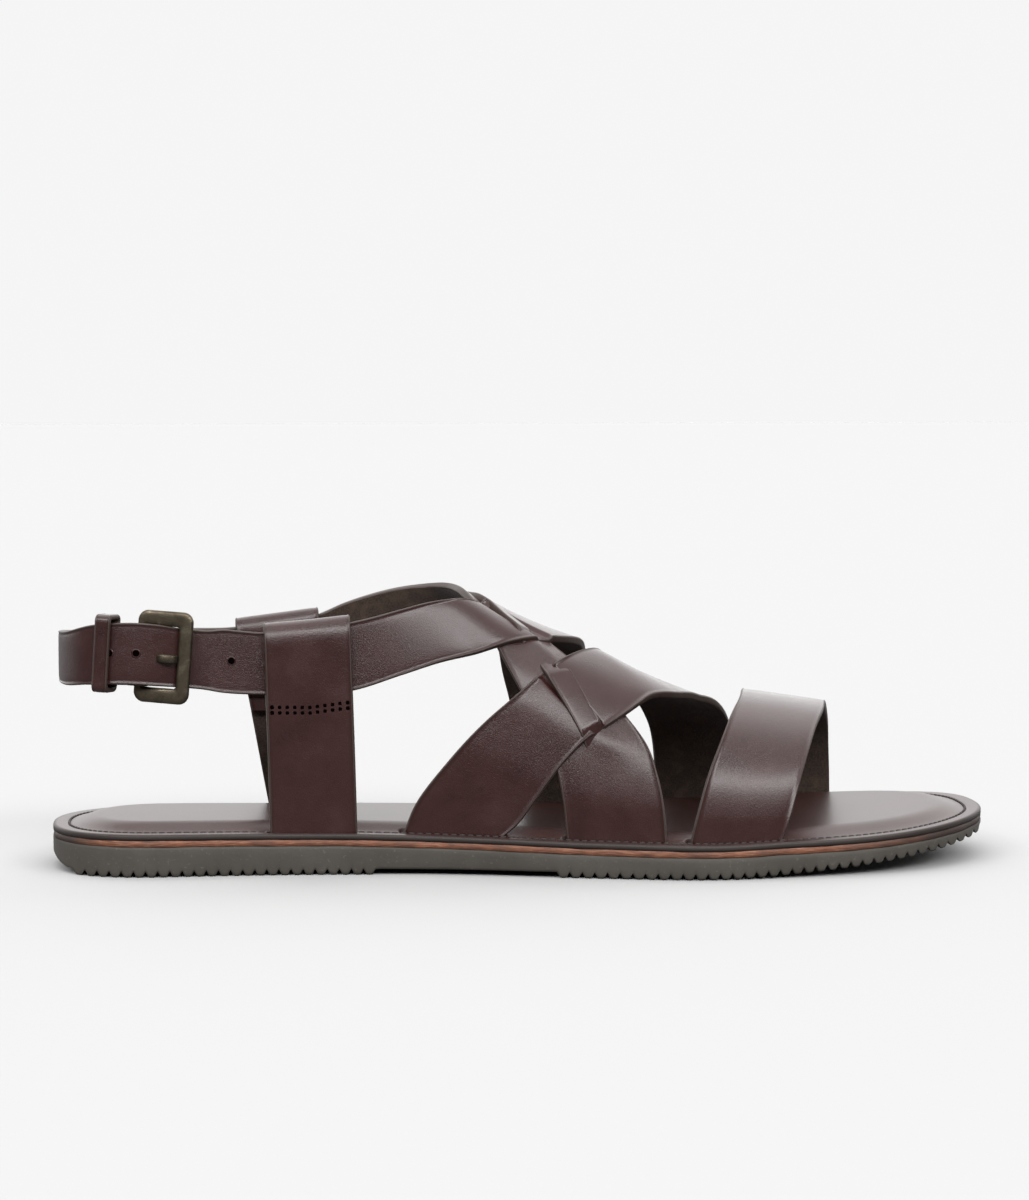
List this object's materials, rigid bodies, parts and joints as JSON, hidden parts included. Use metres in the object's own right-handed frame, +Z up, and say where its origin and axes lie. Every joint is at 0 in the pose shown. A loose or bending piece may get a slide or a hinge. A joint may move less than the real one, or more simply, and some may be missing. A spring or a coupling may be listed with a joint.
{
  "type": "sandal",
  "caption": "Right foot sandal with woven wide leather straps, an ankle strap with a buckle and a keeper, and a flat ribbed rubber sole",
  "frame": {"origin": "the middle of the object's outline, on the ground the sole stands on", "axes": "+X points to the toe, +Y to the inner side of the foot, +Z up"},
  "size_m": [0.2946, 0.1102, 0.0867],
  "materials": {
    "outsole": "matt grey-brown rubber",
    "midsole": "raw tan edge",
    "insole": "smooth dark brown, lightly polished",
    "straps": "smooth dark brown, lightly polished",
    "buckle": "antique, brushed"
  },
  "bodies": {
    "root": {"outsole": "outsole", "midsole": "midsole", "insole": "insole", "upper": "straps", "toe_strap": "straps", "quarter_strap_lateral": "straps", "quarter_strap_medial": "straps", "keeper": "straps", "buckle_frame": "buckle", "buckle_prong": "buckle"}
  },
  "joints": []
}
